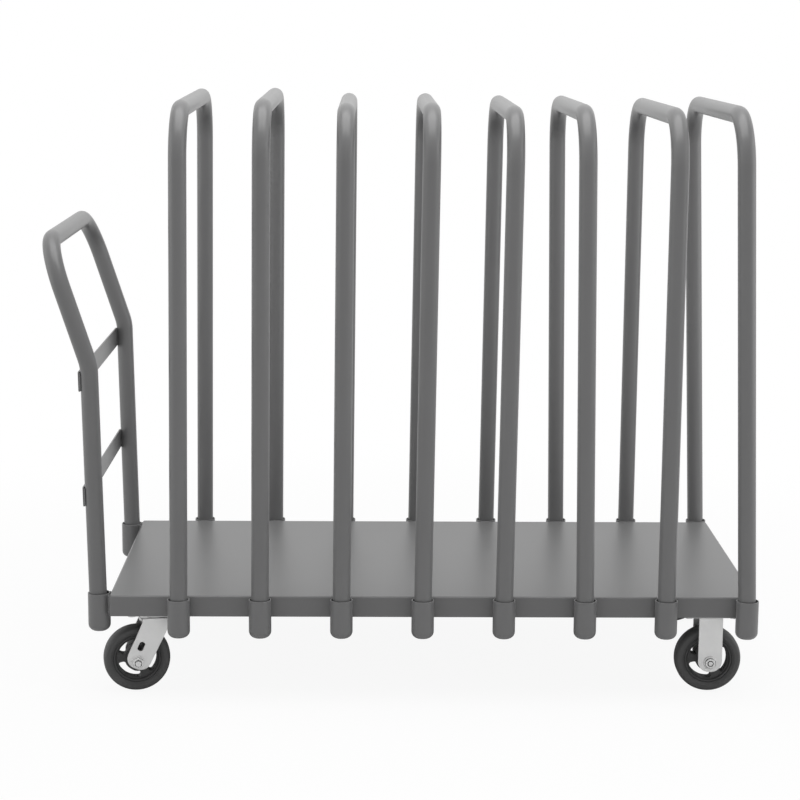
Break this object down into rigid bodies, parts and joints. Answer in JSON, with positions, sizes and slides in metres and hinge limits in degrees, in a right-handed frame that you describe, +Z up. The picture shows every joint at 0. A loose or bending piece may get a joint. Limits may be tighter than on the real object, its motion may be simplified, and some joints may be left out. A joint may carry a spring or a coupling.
{
  "type": "sheet goods cart",
  "caption": "Low steel platform cart with bent-tube dividers that lift out of pockets along its deck, a lift-out push handle, swivel casters at the handle end and rigid casters at the other.",
  "frame": {"origin": "on the floor under the middle of the whole cart's box", "axes": "+X along the deck from the handle end to the rigid casters, +Y across the deck to the back, +Z up"},
  "size_m": [1.3442, 0.6942, 1.1294],
  "materials": {
    "grey_enamel": "satin grey enamel",
    "zinc_plate": "bright zinc plate",
    "bare_steel": "ground steel",
    "cast_core": "black paint on a casting",
    "tyre_rubber": "moulded rubber"
  },
  "bodies": {
    "frame": {"deck_pan": "grey_enamel", "caster_channel_left": "grey_enamel", "caster_channel_right": "grey_enamel", "centre_stiffener": "grey_enamel", "pocket_front_1": "grey_enamel", "pocket_front_2": "grey_enamel", "pocket_front_3": "grey_enamel", "pocket_front_4": "grey_enamel", "pocket_front_5": "grey_enamel", "pocket_front_6": "grey_enamel", "pocket_front_7": "grey_enamel", "pocket_front_8": "grey_enamel", "handle_pocket_front": "grey_enamel", "swivel_front_plate": "zinc_plate", "swivel_front_kingpin": "zinc_plate", "rigid_front_fork": "zinc_plate", "rigid_front_axle": "zinc_plate", "pocket_back_1": "grey_enamel", "pocket_back_2": "grey_enamel", "pocket_back_3": "grey_enamel", "pocket_back_4": "grey_enamel", "pocket_back_5": "grey_enamel", "pocket_back_6": "grey_enamel", "pocket_back_7": "grey_enamel", "pocket_back_8": "grey_enamel", "handle_pocket_back": "grey_enamel", "swivel_back_plate": "zinc_plate", "swivel_back_kingpin": "zinc_plate", "rigid_back_fork": "zinc_plate", "rigid_back_axle": "zinc_plate"},
    "divider_1": {"divider_1": "grey_enamel"},
    "divider_2": {"divider_2": "grey_enamel"},
    "divider_3": {"divider_3": "grey_enamel"},
    "divider_4": {"divider_4": "grey_enamel"},
    "divider_5": {"divider_5": "grey_enamel"},
    "divider_6": {"divider_6": "grey_enamel"},
    "divider_7": {"divider_7": "grey_enamel"},
    "divider_8": {"divider_8": "grey_enamel"},
    "handle": {"handle_tube": "grey_enamel", "handle_strap_lower": "grey_enamel", "handle_strap_upper": "grey_enamel"},
    "swivel_front": {"swivel_front_fork": "zinc_plate", "swivel_front_ball_ring": "bare_steel", "swivel_front_axle": "zinc_plate"},
    "swivel_front_wheel": {"swivel_front_wheel_core": "cast_core", "swivel_front_tyre": "tyre_rubber", "swivel_front_bearing": "bare_steel"},
    "rigid_front_wheel": {"rigid_front_wheel_core": "cast_core", "rigid_front_tyre": "tyre_rubber", "rigid_front_bearing": "bare_steel"},
    "swivel_back": {"swivel_back_fork": "zinc_plate", "swivel_back_ball_ring": "bare_steel", "swivel_back_axle": "zinc_plate"},
    "swivel_back_wheel": {"swivel_back_wheel_core": "cast_core", "swivel_back_tyre": "tyre_rubber", "swivel_back_bearing": "bare_steel"},
    "rigid_back_wheel": {"rigid_back_wheel_core": "cast_core", "rigid_back_tyre": "tyre_rubber", "rigid_back_bearing": "bare_steel"}
  },
  "joints": [
    {"name": "divider_1_lift", "type": "slide", "parent": "frame", "child": "divider_1", "axis": [0.0087, 0, 1], "range_m": [0, 0.1]},
    {"name": "divider_2_lift", "type": "slide", "parent": "frame", "child": "divider_2", "axis": [0.007, 0, 1], "range_m": [0, 0.1]},
    {"name": "divider_3_lift", "type": "slide", "parent": "frame", "child": "divider_3", "axis": [0.007, 0, 1], "range_m": [0, 0.1]},
    {"name": "divider_4_lift", "type": "slide", "parent": "frame", "child": "divider_4", "axis": [0.0113, 0, 0.9999], "range_m": [0, 0.1]},
    {"name": "divider_5_lift", "type": "slide", "parent": "frame", "child": "divider_5", "axis": [0.0105, 0, 0.9999], "range_m": [0, 0.1]},
    {"name": "divider_6_lift", "type": "slide", "parent": "frame", "child": "divider_6", "axis": [-0.0148, 0, 0.9999], "range_m": [0, 0.1]},
    {"name": "divider_7_lift", "type": "slide", "parent": "frame", "child": "divider_7", "axis": [0.0017, 0, 1], "range_m": [0, 0.1]},
    {"name": "divider_8_lift", "type": "slide", "parent": "frame", "child": "divider_8", "axis": [-0.0358, 0, 0.9994], "range_m": [0, 0.1]},
    {"name": "handle_lift", "type": "slide", "parent": "frame", "child": "handle", "axis": [-0.0209, 0, 0.9998], "range_m": [0, 0.1]},
    {"name": "swivel_front_turn", "type": "hinge", "parent": "frame", "child": "swivel_front", "pos_m": [-0.46629, -0.23876, 0.15985], "axis": [0, 0, 1], "continuous": true},
    {"name": "swivel_front_wheel_spin", "type": "hinge", "parent": "swivel_front", "child": "swivel_front_wheel", "pos_m": [-0.50377, -0.24503, 0.0635], "axis": [-0.165, 0.9863, 0], "continuous": true},
    {"name": "swivel_back_turn", "type": "hinge", "parent": "frame", "child": "swivel_back", "pos_m": [-0.46629, 0.23876, 0.15985], "axis": [0, 0, 1], "continuous": true},
    {"name": "swivel_back_wheel_spin", "type": "hinge", "parent": "swivel_back", "child": "swivel_back_wheel", "pos_m": [-0.50429, 0.23876, 0.0635], "axis": [0, 1, 0], "continuous": true},
    {"name": "rigid_front_wheel_spin", "type": "hinge", "parent": "frame", "child": "rigid_front_wheel", "pos_m": [0.59271, -0.23876, 0.0635], "axis": [0, 1, 0], "continuous": true},
    {"name": "rigid_back_wheel_spin", "type": "hinge", "parent": "frame", "child": "rigid_back_wheel", "pos_m": [0.59271, 0.23876, 0.0635], "axis": [0, 1, 0], "continuous": true}
  ]
}
